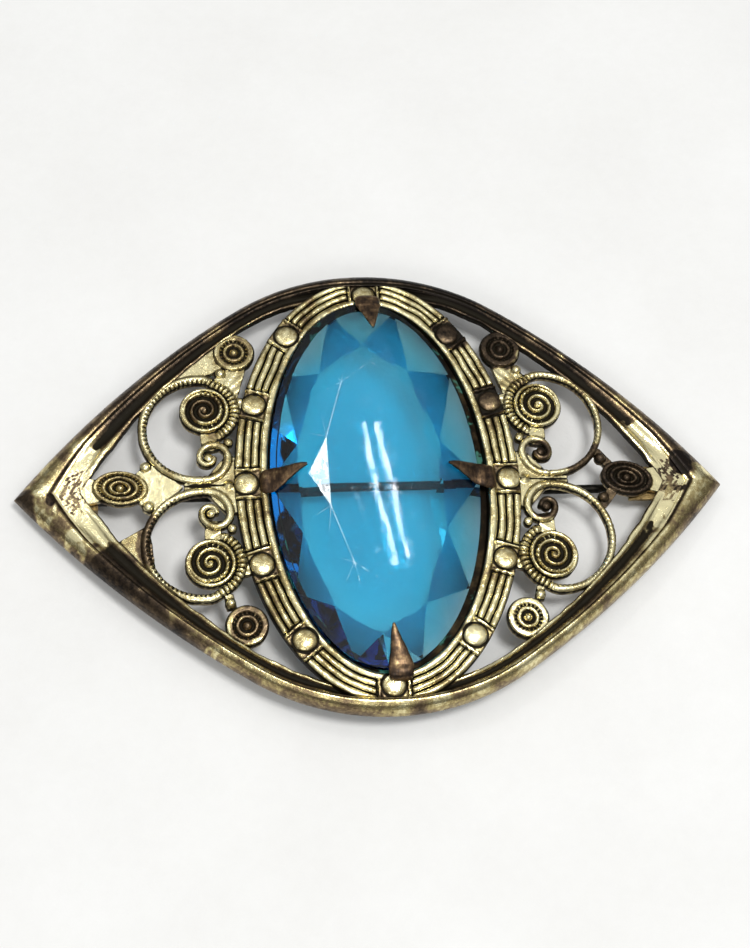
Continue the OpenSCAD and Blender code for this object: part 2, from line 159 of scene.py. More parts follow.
def piece(name, points, faces, finish, marks=None, sharp=38):
    """A mesh piece from points in millimetres, with a value at every point for each mark."""
    mesh = bpy.data.meshes.new(name)
    mesh.from_pydata((np.asarray(points) * MM).tolist(), [], [tuple(f) for f in faces])
    for mark, values in (marks or {}).items():
        stored = mesh.attributes.new(mark, "FLOAT", "POINT")
        stored.data.foreach_set("value", np.asarray(values, np.float32).ravel())
    mesh.polygons.foreach_set("use_smooth", [True] * len(mesh.polygons))
    mesh.set_sharp_from_angle(angle=math.radians(sharp))
    mesh.materials.append(finish)
    made = bpy.data.objects.new(name, mesh)
    bpy.context.scene.collection.objects.link(made)
    return made


def on_front(made, material_slot, *nodes):
    """Fixes a piece to the front in place of its CAD nodes."""
    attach(made, "front")
    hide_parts(*nodes)


class Socket:
    """A node's output. Arithmetic on it adds Math nodes."""

    def __init__(self, finish, socket):
        self.finish, self.socket = finish, socket

    def sum(self, operation, a, b):
        return self.finish.node("ShaderNodeMath", {"operation": operation}, {0: a, 1: b})

    def __add__(self, other):
        return self.sum("ADD", self, other)

    def __sub__(self, other):
        return self.sum("SUBTRACT", self, other)

    def __rsub__(self, other):
        return self.sum("SUBTRACT", other, self)

    def __mul__(self, other):
        return self.sum("MULTIPLY", self, other)

    __radd__ = __add__
    __rmul__ = __mul__

    def between(self, low, high):
        """0 below low, 1 above high."""
        return self.finish.node("ShaderNodeMapRange", {"interpolation_type": "SMOOTHSTEP"},
                                {"Value": self, "From Min": low, "From Max": high})


class Finish:
    """A material, or the room, made of nodes. node() adds any node: settings, then sockets."""

    def __init__(self, name, owner=None):
        self.material = owner or bpy.data.materials.new(name)
        self.material.use_nodes = True
        self.tree = self.material.node_tree
        self.tree.nodes.clear()

    def node(self, kind, settings=None, sockets=None, out=0):
        made = self.tree.nodes.new(kind)
        for key, value in (settings or {}).items():
            if key == "stops":
                while len(made.color_ramp.elements) < len(value):
                    made.color_ramp.elements.new(0.5)
                for stop, (place, colour) in zip(made.color_ramp.elements, value):
                    stop.position, stop.color = place, (*colour, 1)
            else:
                setattr(made, key, value)
        for key, value in (sockets or {}).items():
            if isinstance(value, Socket):
                self.tree.links.new(value.socket, made.inputs[key])
            else:
                made.inputs[key].default_value = value
        return Socket(self, made.outputs[out]) if len(made.outputs) else None

    def noise(self, size, detail=3, stretch=(1, 1, 1)):
        """Noise whose grain is about size millimetres across."""
        place = self.node("ShaderNodeTexCoord", out="Object")
        spread = self.node("ShaderNodeMapping", sockets={"Vector": place, "Scale": stretch})
        return self.node("ShaderNodeTexNoise", sockets={
            "Vector": spread, "Scale": 1 / (size * MM), "Detail": detail, "Roughness": 0.6})

    def mark(self, name):
        return self.node("ShaderNodeAttribute", {"attribute_name": name}, out="Fac")

    def ramp(self, value, stops):
        return self.node("ShaderNodeValToRGB", {"stops": stops}, {"Fac": value})

    def mix(self, share, a, b):
        return self.node("ShaderNodeMix", {"data_type": "RGBA"}, {0: share, 6: a, 7: b}, out=2)

    def bump(self, height, depth, strength=1.0):
        return self.node("ShaderNodeBump", sockets={
            "Height": height, "Distance": depth * MM, "Strength": strength}, out="Normal")

    def surface(self, sockets, inside=None):
        ends = {"Surface": self.node("ShaderNodeBsdfPrincipled", sockets=sockets)}
        if inside:
            ends["Volume"] = inside
        self.node("ShaderNodeOutputMaterial", sockets=ends)
        return self.material


GILT = (0.90, 0.81, 0.47)
GILT_SHADE = (0.45, 0.365, 0.165)
BRONZE = (0.215, 0.155, 0.088)
BROWN = (0.080, 0.057, 0.037)
SOOT = (0.012, 0.009, 0.007)
# Dark olive for real dirt in recesses, also used as painted shade
OLIVE_DIRT_AND_SHADE = (0.010, 0.0075, 0.003)


def worn_gilding(name):
    """Gilt brass whose colour follows two marks: tarnish from 0, bright gilding, to 1, black,
    which at some places also carries painted highlights and painted shade, and the share of
    dark dirt in a recess, which also paints shade into grooves, onto walls and under the rim and the
    band."""
    f = Finish(name)
    fine, coarse, grit = f.noise(0.33, 4), f.noise(1.5, 4), f.noise(0.13, 2)
    scratch = f.noise(0.5, 4, (1, 0.22, 1))
    state = f.mark("tarnish") + (fine - 0.5) * 0.55 + (coarse - 0.5) * 0.55
    # How much of the dark olive covers a place: real dirt in recesses together with painted shade
    grime_and_shade = (f.mark("hollow") + (fine - 0.5) * 0.45 + (coarse - 0.5) * 0.2).between(0.22, 0.72)
    specks = (grit * 0.6 + fine * 0.4).between(0.60, 0.70) * (state + 0.35)
    metal = f.ramp(state, [(0.0, GILT), (0.22, GILT), (0.40, GILT_SHADE), (0.56, BRONZE),
                           (0.74, BROWN), (0.96, SOOT)])
    dark = (grime_and_shade + specks).between(0.0, 1.0)
    rough = state.between(0.0, 1.0) * 0.20 + 0.20 + (fine - 0.5) * 0.25 + dark * 0.25
    metallic = 1 - state.between(0.70, 1.05) * 0.35 - dark * 0.50
    relief = f.bump(fine * 0.45 + scratch * 0.3 + grit * 0.25, 0.06, 0.9)
    return f.surface({"Base Color": f.mix(dark, metal, (*OLIVE_DIRT_AND_SHADE, 1)), "Roughness": rough,
                      "Metallic": metallic, "Specular IOR Level": 0.15, "Normal": relief})


gilding = worn_gilding("worn_gilding")

# Across the rim: share of the way from the outer edge over the moulding (0 to 1) and from
# there to the openings (1 to 2), height from the face, tarnish, and dirt. The tarnish column is
# lighter on the ridge and the lip, partly worn gilding and partly painted highlight, and darker in
# the groove, partly painted shade. The dirt column paints shade into the groove and onto the underside.
RIM_KNOTS = np.array([
    (0.00, -1.30, 0.72, 0.3), (0.03, -1.00, 0.70, 0.1), (0.10, -0.66, 0.64, 0.0),
    (0.20, -0.40, 0.60, 0.0), (0.32, -0.20, 0.58, 0.0), (0.45, -0.05, 0.55, 0.0),
    (0.58, 0.05, 0.56, 0.0), (0.70, 0.10, 0.50, 0.0), (0.78, 0.11, 0.42, 0.0),
    (0.85, 0.06, 0.54, 0.1), (0.90, -0.05, 0.76, 0.6), (0.95, -0.13, 0.70, 0.5),
    (1.00, -0.15, 0.52, 0.2), (1.10, -0.22, 0.60, 0.2), (1.22, -0.38, 0.76, 0.5),
    (1.36, -0.50, 0.88, 0.9), (1.52, -0.50, 0.88, 0.9), (1.64, -0.42, 0.70, 0.5),
    (1.74, -0.27, 0.46, 0.2), (1.84, -0.21, 0.26, 0.0), (1.93, -0.25, 0.44, 0.1),
    (2.00, -0.40, 0.75, 0.6), (2.00, -0.95, 0.80, 0.6), (1.90, -1.00, 0.70, 0.4),
    (1.50, -1.00, 0.55, 0.2), (1.00, -0.75, 0.60, 0.4), (0.70, -0.42, 0.60, 0.4),
    (0.40, -0.52, 0.65, 0.5), (0.18, -0.88, 0.65, 0.5), (0.07, -1.24, 0.70, 0.4)])
STEPS = 300
FINER = 4
UPPER_ROWS = 81
POINT_FLOOR, POINT_LIP = -0.36, -0.37
last_knot = len(RIM_KNOTS) - 1
rim_rows = np.stack([np.interp(np.linspace(0, last_knot, FINER * last_knot + 1),
                               np.arange(last_knot + 1), RIM_KNOTS[:, k]) for k in range(4)], -1)

quarter = np.linspace(0, 1, STEPS + 1)
outer_x, outer_y = outline(0, LENGTH / 2, quarter)
hole_x, hole_y = outline(RIM_W, RIM_TIP, quarter)
# The moulding is narrower along the flanks than at the points
moulding = np.interp(quarter, [0, 0.25, 0.84, 1], [0.61, 0.50, 0.47, 0.6])
columns = []
for side_x, side_y in ((1, 1), (1, -1), (-1, -1), (-1, 1)):
    for k in np.arange(STEPS + 1)[::side_x * side_y][:-1]:
        columns.append((side_x, side_y, k))
columns = np.array(columns)
side_x, side_y, col = columns[:, 0:1], columns[:, 1:2], columns[:, 2]
lay = rim_rows[:, 0][None, :]
mould_w = moulding[col][:, None]
inward = np.where(lay < 1, lay * mould_w, mould_w + (lay - 1) * (1 - mould_w))
rx = side_x * (outer_x[col][:, None] * (1 - inward) + hole_x[col][:, None] * inward)
ry = side_y * (outer_y[col][:, None] * (1 - inward) + hole_y[col][:, None] * inward)
# Hand filing leaves the edge of the openings a little uneven
uneven = (mottle(rx, ry, 1.6, 5) - 0.5) * 0.34 * smooth(1.6, 2, lay)
from_middle = np.hypot(rx, ry)
rx, ry = rx + uneven * rx / from_middle, ry + uneven * ry / from_middle
tip_field = smooth(0.84, 0.93, quarter)[col][:, None]
height = rim_rows[:, 1][None, :] + np.zeros_like(rx)
in_groove = (lay > 1.05) & (lay < 1.7)
height = np.where(in_groove, height * (1 - tip_field) + POINT_FLOOR * tip_field, height)
# In the points the lip sinks into the flat that carries the side rosette
at_rosette = smooth(2.6, 1.2, np.abs(ry)) * smooth(20, 22, np.abs(rx)) * (lay > 1.6) * (lay < 2)
height = height * (1 - at_rosette) + POINT_LIP * at_rosette
# Where the stone band crosses it, the groove and the lip lie lower than the ribs
in_band = smooth(1.06, 0.98, np.hypot(rx / 12.75, ry / 20.4))
height -= in_band * (lay > 1) * (lay < 1.97) * 0.35 * (height > -0.9)
height += (mottle(rx, ry, 1.1, 9) - 0.5) * 0.07
# How much browner, or below 0 how much brighter, the gilding is near each of these places
RIM_SHADES = (((-20, 13), 0.20), ((-8, 21), 0.24), ((8, 20), 0.44), ((18, 14), 0.30),
              ((27, 6), 0.08), ((28, -5), -0.12), ((18, -13), -0.10), ((6, -20), -0.16),
              ((-6, -20), -0.10), ((-17, -14), 0.06), ((-24, -9), 0.18), ((-28, -3), -0.06))
SHADE_SPREAD = 30
weight = np.zeros_like(rx)
tone = np.zeros_like(rx)
for at, shade in RIM_SHADES:
    near = np.exp(-((rx - at[0]) ** 2 + (ry - at[1]) ** 2) / SHADE_SPREAD)
    weight += near
    tone += near * shade
streaks = mottle(rx * 1.2 + ry * 0.4, ry * 1.2 - rx * 0.4, 2.4, 11) - 0.5
# The profile's tarnish brings its painted highlight and painted shade along
rim_tarnish_and_light = rim_rows[:, 2][None, :] + tone / (weight + 1e-6) + streaks * 0.55
rim_dirt_and_shade = rim_rows[:, 3][None, :] + np.zeros_like(rx)
upper_face = (np.arange(len(rim_rows)) < UPPER_ROWS)[None, :]
# Bright gilding survives in the flat of each point, broken by specks
bright = np.maximum(patch(rx, ry, (-26.3, -0.3), (3.6, 5.2), 21),
                    patch(rx, ry, (25.4, 0.4), (3.4, 6.4), 22)) * (lay > 0.98)
speckle = smooth(0.64, 0.76, mottle(rx, ry, 0.7, 31))
in_points = rim_tarnish_and_light * (1 - bright) + bright * (-0.12 + speckle * 0.28)
rim_tarnish_and_light = np.where(upper_face, in_points, rim_tarnish_and_light)
rim_dirt_and_shade *= 1 - bright * upper_face
# Black patches on the rim: place, half widths, and the least tarnish there
DARK_PATCHES = (((28.0, 1.8), (1.25, 1.35), 1.0), ((27.0, -0.75), (1.5, 0.42), 0.95),
                ((-24.3, -8.6), (3.4, 3.2), 0.88), ((-21.3, -11.8), (2.6, 2.4), 0.8),
                ((11.0, 17.3), (4.6, 2.2), 0.85), ((6.5, 19.2), (3.0, 1.2), 0.8),
                ((-31.2, -1.5), (1.3, 2.2), 0.8), ((-28.8, -0.7), (0.5, 0.7), 0.9))
for number, (at, half, amount) in enumerate(DARK_PATCHES):
    dark = patch(rx, ry, at, half, 40 + number) * upper_face
    rim_tarnish_and_light = rim_tarnish_and_light * (1 - dark) + np.maximum(rim_tarnish_and_light, amount) * dark
# Places where the moulding is rubbed back to the gilding
SCUFFS = (((-15.6, -15.3), (1.0, 0.7)), ((16.8, 12.0), (1.6, 0.9)), ((-29.2, -1.6), (1.1, 1.9)),
          ((-26.8, -5.0), (1.2, 1.7)), ((29.8, 0.2), (1.1, 1.4)))
for number, (at, half) in enumerate(SCUFFS):
    scuff = patch(rx, ry, at, half, 60 + number) * upper_face * (lay < 1)
    rim_tarnish_and_light -= scuff * smooth(0.35, 0.6, mottle(rx, ry, 0.7, 80)) * 0.32


def ring_faces(count, across):
    """Quads of a grid that closes both ways, seen from outside."""
    i, j = np.meshgrid(np.arange(count), np.arange(across), indexing="ij")
    i2, j2 = (i + 1) % count, (j + 1) % across
    quads = np.stack([i * across + j, i2 * across + j, i2 * across + j2, i * across + j2], -1)
    return quads.reshape(-1, 4).tolist()


rim_points = np.stack([rx, ry, dome(rx, ry) + height], -1).reshape(-1, 3)
rim = piece("rim", rim_points, ring_faces(len(columns), len(rim_rows)), gilding,
            {"tarnish": rim_tarnish_and_light, "hollow": rim_dirt_and_shade}, sharp=50)
on_front(rim, "tarnished_rim", "rim_frame")

# ---- Stone band ----
# The raised oval band round the stone is part of the same stamping. It carries four ribs
# side by side, cut into twelve panels by small blocks, each with a domed stud.

BAND_IN, BAND_OUT = (9.75, 17.7), (12.75, 20.4)
BAND_LOW = -1.15
STUD_R = 1.03
STUD_PATH = (11.75, 18.75)
STUD_ANGLES = (0, 24, 51, 90, 129, 156, 180, 204, 231, 270, 309, 336)
DARK_STUDS = (24, 51)
STUD_TARNISH = {24: 0.66, 51: 0.74, 0: 0.3, 336: 0.35, 309: 0.12}
MIDDLE_LINE = (11.2, 19)
RIB_EDGES = (0, 0.29, 0.525, 0.755, 1)
GROOVE_Z, BLOCK_Z = -0.34, -0.26
AROUND, WIDE = 900, 48

# Even steps round the band, and shares t of its width from the stone outwards
even = np.linspace(0, 2 * math.pi, 20001)
steps = np.hypot(np.diff(MIDDLE_LINE[0] * np.cos(even)), np.diff(MIDDLE_LINE[1] * np.sin(even)))
run = np.concatenate([[0], np.cumsum(steps)])
angle = np.interp(np.linspace(0, run[-1], AROUND, endpoint=False), run, even)[:, None]
t = np.linspace(0, 1, WIDE)[None, :]
bx = (BAND_IN[0] + (BAND_OUT[0] - BAND_IN[0]) * t) * np.cos(angle)
by = (BAND_IN[1] + (BAND_OUT[1] - BAND_IN[1]) * t) * np.sin(angle)
# Half-round ribs, the innermost the widest, with dark grooves between them: the darkness there is dirt
# together with painted shade
sway = (mottle(bx, by, 2.6, 100) - 0.5) * 0.10
lane = np.interp(t + sway * smooth(0, 0.3, t) * smooth(1, 0.7, t), RIB_EDGES, range(5))
off_middle = np.abs(lane - np.clip(np.floor(lane), 0, 3) - 0.5)
rib = np.sqrt(np.clip(1 - (off_middle / 0.46) ** 2, 0, 1))
wander = (mottle(bx, by, 1.1, 101) - 0.5) * 0.16
band_height = GROOVE_Z - GROOVE_Z * rib + wander * rib
band_dirt_and_shade = smooth(0.80, 0.42, rib) * (0.60 + 0.75 * mottle(bx, by, 1.8, 102))
band_tarnish_and_shade = 0.60 * mottle(bx, by, 1.6, 103) - 0.02
past_inner_rib = smooth(0.22, 0.29, t)
for degrees in STUD_ANGLES:
    c, d = math.cos(math.radians(degrees)), math.sin(math.radians(degrees))
    at = (STUD_PATH[0] * c, STUD_PATH[1] * d)
    out = math.atan2(d / STUD_PATH[1], c / STUD_PATH[0])
    along = -(bx - at[0]) * math.sin(out) + (by - at[1]) * math.cos(out)
    outward = (bx - at[0]) * math.cos(out) + (by - at[1]) * math.sin(out)
    here = np.abs(outward) < 4
    block = smooth(1.36, 1.22, np.abs(along)) * here * past_inner_rib
    bar = smooth(0.20, 0.08, np.abs(np.abs(along) - 1.28)) * here * past_inner_rib
    gap = smooth(0.14, 0.05, np.abs(np.abs(along) - 1.52)) * here * past_inner_rib
    band_height = band_height * (1 - block) + BLOCK_Z * block
    band_height = np.maximum(band_height, GROOVE_Z + 0.33 * bar)
    band_height = band_height * (1 - gap * 0.85) + GROOVE_Z * gap * 0.85
    # The blocks, the gaps beside their bars and a ring round each stud's foot are darkened as dirt with
    # painted shade
    band_dirt_and_shade = band_dirt_and_shade * (1 - block) + block * 0.30
    band_dirt_and_shade = np.clip(band_dirt_and_shade * (1 - bar) + gap * 0.8, 0, 1)
    foot = np.hypot(along, outward)
    band_dirt_and_shade = np.maximum(band_dirt_and_shade, smooth(1.34, 1.12, foot) * 0.85)
    band_tarnish_and_shade += block * 0.22
    if degrees in DARK_STUDS:
        band_tarnish_and_shade += patch(bx, by, at, (1.9, 1.5), 110 + degrees) * 0.50 * past_inner_rib
edges = smooth(0, 0.035, t) * smooth(1, 0.965, t)
band_height -= (1 - edges) * 0.10
# At the top and the bottom the band runs in under the rim's moulding; there, and along the band's outer
# edge, it is painted darker as shade
mould_x, mould_y = outline(1.35, 28.4, quarter)
mould_far = np.interp(np.abs(np.arctan2(np.abs(by), np.abs(bx))),
                      np.arctan2(mould_y, mould_x)[::-1], np.hypot(mould_x, mould_y)[::-1])
under_rim = smooth(-0.1, 0.35, np.hypot(bx, by) - mould_far)
band_height -= under_rim * 0.7
band_dirt_and_shade = np.clip(band_dirt_and_shade + under_rim + smooth(0.94, 1.0, t) * 0.3, 0, 1)
# The band's walls and its back: share of its width, height from the face, and dirt, which here paints
# shade onto the walls
WALLS = np.array(((1, -0.55, 1.0), (1, -1.0, 1.0), (0.97, BAND_LOW, 0.7), (0.5, BAND_LOW, 0.3),
                  (0.03, BAND_LOW, 1.1), (0, -1.0, 1.6), (0, -0.5, 1.5)))
wall_t = WALLS[None, :, 0]
wall_x = (BAND_IN[0] + (BAND_OUT[0] - BAND_IN[0]) * wall_t) * np.cos(angle)
wall_y = (BAND_IN[1] + (BAND_OUT[1] - BAND_IN[1]) * wall_t) * np.sin(angle)
still = np.zeros_like(wall_x)
bx, by = np.hstack([bx, wall_x]), np.hstack([by, wall_y])
band_height = np.hstack([band_height, WALLS[None, :, 1] + still])
band_dirt_and_shade = np.hstack([band_dirt_and_shade, WALLS[None, :, 2] + still])
# The walls and the back are painted near black as shade
band_tarnish_and_shade = np.hstack([band_tarnish_and_shade, 0.9 + still])


def stacked_faces(rows, around):
    """Quads between rings of points that lie one above the other, seen from outside."""
    i, j = np.meshgrid(np.arange(rows - 1), np.arange(around), indexing="ij")
    j2 = (j + 1) % around
    quads = np.stack([i * around + j, i * around + j2, (i + 1) * around + j2, (i + 1) * around + j], -1)
    return quads.reshape(-1, 4)


band_points = np.stack([bx, by, dome(bx, by) + band_height], -1).reshape(-1, 3)
points, faces = [band_points], [f[::-1] for f in ring_faces(AROUND, WIDE + len(WALLS))]
tarnish, hollow = [band_tarnish_and_shade.ravel()], [band_dirt_and_shade.ravel()]
start = len(band_points)
# Each stud: radius, height above the block, and dirt, from the foot to the top; the dirt at the foot is
# painted shade
STUD_PROFILE = np.array(((1.0, -0.40, 1.1), (1.0, -0.18, 1.0), (0.985, -0.02, 0.6),
                         (0.93, 0.08, 0.25), (0.82, 0.14, 0.15), (0.66, 0.19, 0.15),
                         (0.45, 0.23, 0.0), (0.22, 0.25, 0.0)))
STUD_SIDES = 40
round_it = np.linspace(0, 2 * math.pi, STUD_SIDES, endpoint=False)[None, :]
for number, degrees in enumerate(STUD_ANGLES):
    c, d = math.cos(math.radians(degrees)), math.sin(math.radians(degrees))
    oval = 1 + 0.04 * np.random.default_rng(200 + number).random()
    r = STUD_R * STUD_PROFILE[:, :1]
    px = STUD_PATH[0] * c + r * np.cos(round_it) * oval
    py = STUD_PATH[1] * d + r * np.sin(round_it) / oval
    lean = (mottle(px, py, 0.9, 210 + number) - 0.5) * 0.12
    pz = dome(px, py) - 0.15 + STUD_PROFILE[:, 1:2] + lean
    stud = np.stack([px, py, pz], -1).reshape(-1, 3)
    faces += (stacked_faces(len(STUD_PROFILE), STUD_SIDES) + start).tolist()
    top = start + len(stud) - STUD_SIDES
    faces.append([top + k for k in range(STUD_SIDES)])
    faces.append([start + k for k in range(STUD_SIDES)][::-1])
    points.append(stud)
    uneven = 0.22 * (mottle(stud[:, 0], stud[:, 1], 0.8, 230) - 0.4)
    tarnish.append(STUD_TARNISH.get(degrees, 0.32) + uneven)
    hollow.append(np.repeat(STUD_PROFILE[:, 2], STUD_SIDES))
    start += len(stud)
band = piece("stone_band", np.vstack(points), faces, gilding,
             {"tarnish": np.concatenate(tarnish), "hollow": np.concatenate(hollow)}, sharp=55)
on_front(band, "gilt_front", "oval_band")

# ---- Scrollwork ----
# Four pierced panels of the same stamping. In each, a roped scroll runs round a spiral
# volute, out along the rim and back to the middle, where it curls into a small hook.
# A rosette and small balls fill the corner. The sheet is cut away between them.

ROSETTE, ROSETTE_R = (12.25, 13.05), 1.88
VOLUTE, VOLUTE_R = (15.15, 7.28), 2.22
SCROLL, SCROLL_R = (15.75, 5.5), 4.95
WEB, WEB_LOW = -0.38, -0.9
BACK_MARKS = (0.55, 0.15)
CONE_X = 13.25
# Balls of each panel: place, radius and height
SCROLL_BALLS = (((13.57, 10.97), 0.48, 0.08), ((13.15, 4.1), 0.42, -0.02),
                ((14.95, 2.65), 0.42, -0.04))


def arc(c, r, start, end):
    count = max(3, int(abs(end - start) * math.pi / 180 * r / 0.06))
    a = np.radians(np.linspace(start, end, count))
    return np.stack([c[0] + r * np.cos(a), c[1] + r * np.sin(a)], -1)


rope = arc(VOLUTE, 2.72, 243, 112)
sweep = arc(SCROLL, SCROLL_R, 96, -90)
joined = np.linspace(0, 1, 22)[1:-1, None]
turn_in = rope[-1] * (1 - joined) + sweep[0] * joined
turn_in[:, 1] += 0.10 * np.sin(joined[:, 0] * math.pi)
path = np.vstack([rope, turn_in, sweep, arc((15.35, 2.65), 2.1, -90, -180),
                  arc((14.5, 2.65), 1.25, 180, 0), arc((15.1, 2.65), 0.65, 0, -170)])
path_run = np.concatenate([[0], np.cumsum(np.hypot(*np.diff(path, axis=0).T))])
rope_end = path_run[len(rope) - 1]
sweep_start = path_run[len(rope) + len(turn_in)]
sweep_end = sweep_start + SCROLL_R * math.radians(186)
path_way = np.gradient(path, axis=0)
path_way /= np.hypot(*path_way.T)[:, None]


class Sheet:
    """A fine grid of places over part of the front, from which a pierced piece is cut."""

    def __init__(self, x, y, cell):
        self.x, self.y = np.meshgrid(np.arange(*x, cell), np.arange(*y, cell))

    def area(self, corners):
        """Distance outside a flat area with these corners, below 0 inside it."""
        corners = np.asarray(corners, float)
        far = np.full(self.x.shape, 1e9)
        inside = np.zeros(self.x.shape, bool)
        for a, b in zip(corners, np.roll(corners, -1, 0)):
            edge, dx, dy = b - a, self.x - a[0], self.y - a[1]
            u = np.clip((dx * edge[0] + dy * edge[1]) / (edge @ edge), 0, 1)
            far = np.minimum(far, np.hypot(dx - u * edge[0], dy - u * edge[1]))
            if a[1] != b[1]:
                cross = (a[1] > self.y) != (b[1] > self.y)
                inside ^= cross & (self.x < a[0] + dy * edge[0] / edge[1])
        return np.where(inside, -far, far)

    def disc(self, c, r):
        """Distance outside a round area, below 0 inside it."""
        return np.hypot(self.x - c[0], self.y - c[1]) - r

    def ball(self, c, r, low, high):
        """Height of a small domed ball."""
        far = np.hypot(self.x - c[0], self.y - c[1])
        return low + (high - low) * np.sqrt(np.clip(1 - (far / r) ** 2, 0, 1))

    def mottle(self, size, seed, flip=(1, 1)):
        return mottle(self.x * flip[0], self.y * flip[1], size, seed)

    def cut(self, edge, top, marks, flip):
        """The domed sheet cut away where edge is above 0: its points, with marks, and faces."""
        inside = edge < 0
        number = np.cumsum(inside.ravel()).reshape(edge.shape) - 1
        layers = [self.x, self.y, top, *marks]
        count = int(inside.sum())
        around_cell = ((0, 0), (0, 1), (1, 1), (1, 0))
        rows, cols = edge.shape
        a, b, c, d = (inside[i:rows - 1 + i, j:cols - 1 + j] for i, j in around_cell)
        whole = a & b & c & d
        made = np.stack([number[i:rows - 1 + i, j:cols - 1 + j][whole]
                         for i, j in around_cell], -1).tolist()
        crossings, extra = {}, []
        for i, j in np.argwhere((a | b | c | d) & ~whole):
            corners = tuple((i + di, j + dj) for di, dj in around_cell)
            ring = []
            for p, q in zip(corners, corners[1:] + corners[:1]):
                if inside[p]:
                    ring.append(int(number[p]))
                if inside[p] != inside[q]:
                    key = (p, q) if p < q else (q, p)
                    if key not in crossings:
                        u = edge[key[0]] / (edge[key[0]] - edge[key[1]])
                        u = min(max(u, 0.04), 0.96)
                        extra.append([v[key[0]] * (1 - u) + v[key[1]] * u for v in layers])
                        crossings[key] = count + len(extra) - 1
                    ring.append(crossings[key])
            if len(ring) > 2:
                made.append(ring)
        upper = np.vstack([np.stack([v[inside] for v in layers], -1), np.array(extra)])
        total = len(upper)
        seen = {side for f in made for side in zip(f, f[1:] + f[:1])}
        walls = [[q, p, p + total, q + total] for p, q in seen if (q, p) not in seen]
        made += [[v + total for v in f[::-1]] for f in made] + walls
        points = np.vstack([upper, upper])
        points[total:, 2] = WEB_LOW
        points[:, 2] += dome(points[:, 0], points[:, 1])
        points[total:, 3:] = BACK_MARKS
        points[:, :2] *= flip
        if flip[0] * flip[1] < 0:
            made = [f[::-1] for f in made]
        return points, made


def soften(v, times):
    """Each value averaged with its neighbours, several times over."""
    for _ in range(times):
        v = np.pad(v, 1, mode="edge")
        v = (v[1:-1, 1:-1] * 2 + v[:-2, 1:-1] + v[2:, 1:-1] + v[1:-1, :-2] + v[1:-1, 2:]) / 6
    return v


quarter_sheet = Sheet((9.4, 26.2), (0.02, 18.2), 0.08)
qx, qy = quarter_sheet.x, quarter_sheet.y
# For each place: how far the scroll's middle line is, on which side, and how far along
nearest, beside, along_path = np.zeros(qx.shape), np.zeros(qx.shape), np.zeros(qx.shape)
for row in range(len(qx)):
    dx = qx[row][:, None] - path[None, :, 0]
    dy = qy[row][:, None] - path[None, :, 1]
    far = np.hypot(dx, dy)
    best = far.argmin(1)
    pick = np.arange(len(best))
    nearest[row] = far[pick, best]
    along_path[row] = path_run[best]
    beside[row] = path_way[best, 0] * dy[pick, best] - path_way[best, 1] * dx[pick, best]

opening = np.stack(outline(RIM_W, RIM_TIP, np.linspace(0, 1, 60)), -1)
in_rim = quarter_sheet.area(np.vstack([[[0, 0]], opening]))
oval_share = np.hypot(qx / BAND_OUT[0], qy / BAND_OUT[1])
band_gap = (oval_share - 1) * oval_share / np.hypot(qx / BAND_OUT[0] ** 2, qy / BAND_OUT[1] ** 2)


